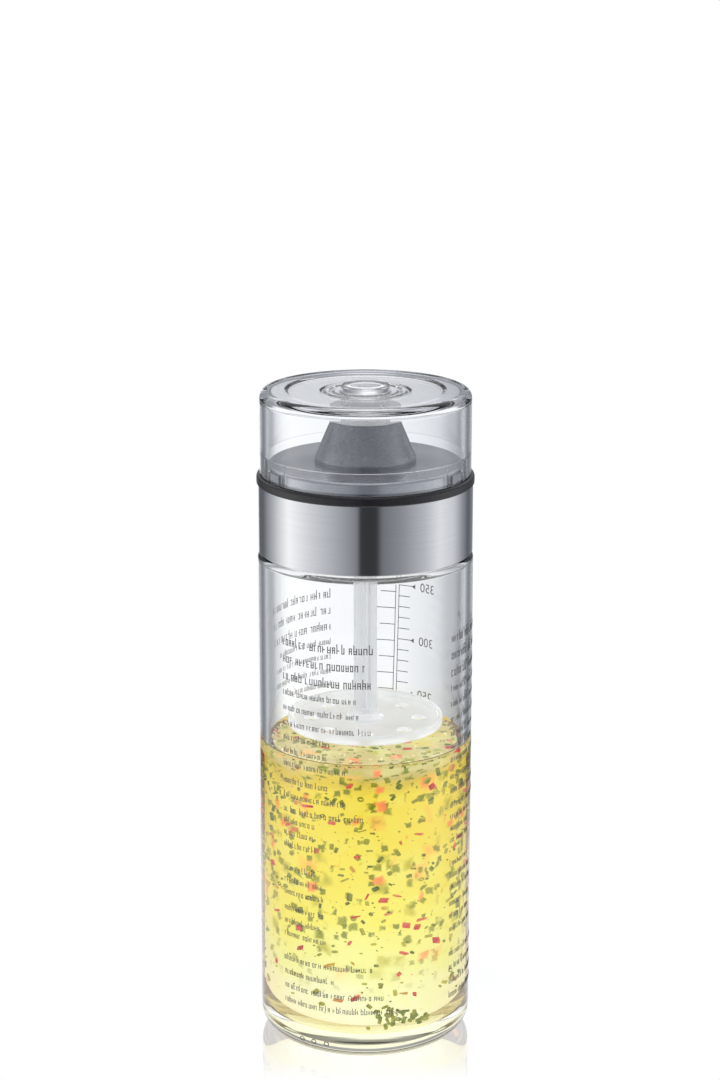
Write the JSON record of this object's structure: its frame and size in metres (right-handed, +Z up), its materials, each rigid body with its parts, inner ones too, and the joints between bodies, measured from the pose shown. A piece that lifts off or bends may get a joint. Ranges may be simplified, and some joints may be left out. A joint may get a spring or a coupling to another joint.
{
  "type": "salad dressing shaker bottle",
  "caption": "Cylindrical glass shaker jar with a screw closure: steel collar and pouring cone, hanging perforated mixing disc, and clear pull-off cap.",
  "frame": {"origin": "centre of the jar's foot, on the surface it stands on", "axes": "+Z up along the bottle's axis, front of the bottle towards -Y"},
  "size_m": [0.0654, 0.0654, 0.2046],
  "materials": {
    "glass": "polished soda-lime glass with a faint green edge",
    "clear_plastic": "clear, polished, moulded",
    "frosted_plastic": "translucent natural, satin",
    "clear_silicone": "translucent natural, matte",
    "black_silicone": "black, smooth",
    "steel": "brushed round the axis"
  },
  "bodies": {
    "jar": {"glass_jar": "glass"},
    "closure_seat": {"jar_gasket": "clear_silicone"},
    "closure_lead": {"cap_seal_ring": "black_silicone"},
    "closure": {"closure_body": "frosted_plastic", "steel_collar": "steel", "top_plate": "steel", "spout_cone": "steel", "pour_insert": "frosted_plastic", "insert_gasket": "clear_silicone"},
    "mixer": {"mixing_rod": "frosted_plastic", "mixing_disc": "frosted_plastic", "disc_pin": "frosted_plastic"},
    "cap": {"clear_cap": "clear_plastic", "spout_plug": "clear_silicone"}
  },
  "joints": [
    {"name": "closure_lift", "type": "slide", "parent": "jar", "child": "closure_seat", "axis": [0, 0, 1], "range_m": [0, 0.095]},
    {"name": "closure_rise", "type": "slide", "parent": "closure_seat", "child": "closure_lead", "axis": [0, 0, 1], "range_m": [0, 0.004]},
    {"name": "closure_turn", "type": "hinge", "parent": "closure_lead", "child": "closure", "pos_m": [0, 0, 0.17], "axis": [0, 0, 1], "range_deg": [0, 360]},
    {"name": "mixer_pull", "type": "slide", "parent": "closure", "child": "mixer", "axis": [0, 0, -1], "range_m": [0, 0.012]},
    {"name": "cap_lift", "type": "slide", "parent": "closure", "child": "cap", "axis": [0, 0, 1], "range_m": [0, 0.04]}
  ],
  "couplings": [
    {"joint": "closure_rise", "follows": "closure_turn", "m_per_rad": 0.0006366}
  ]
}
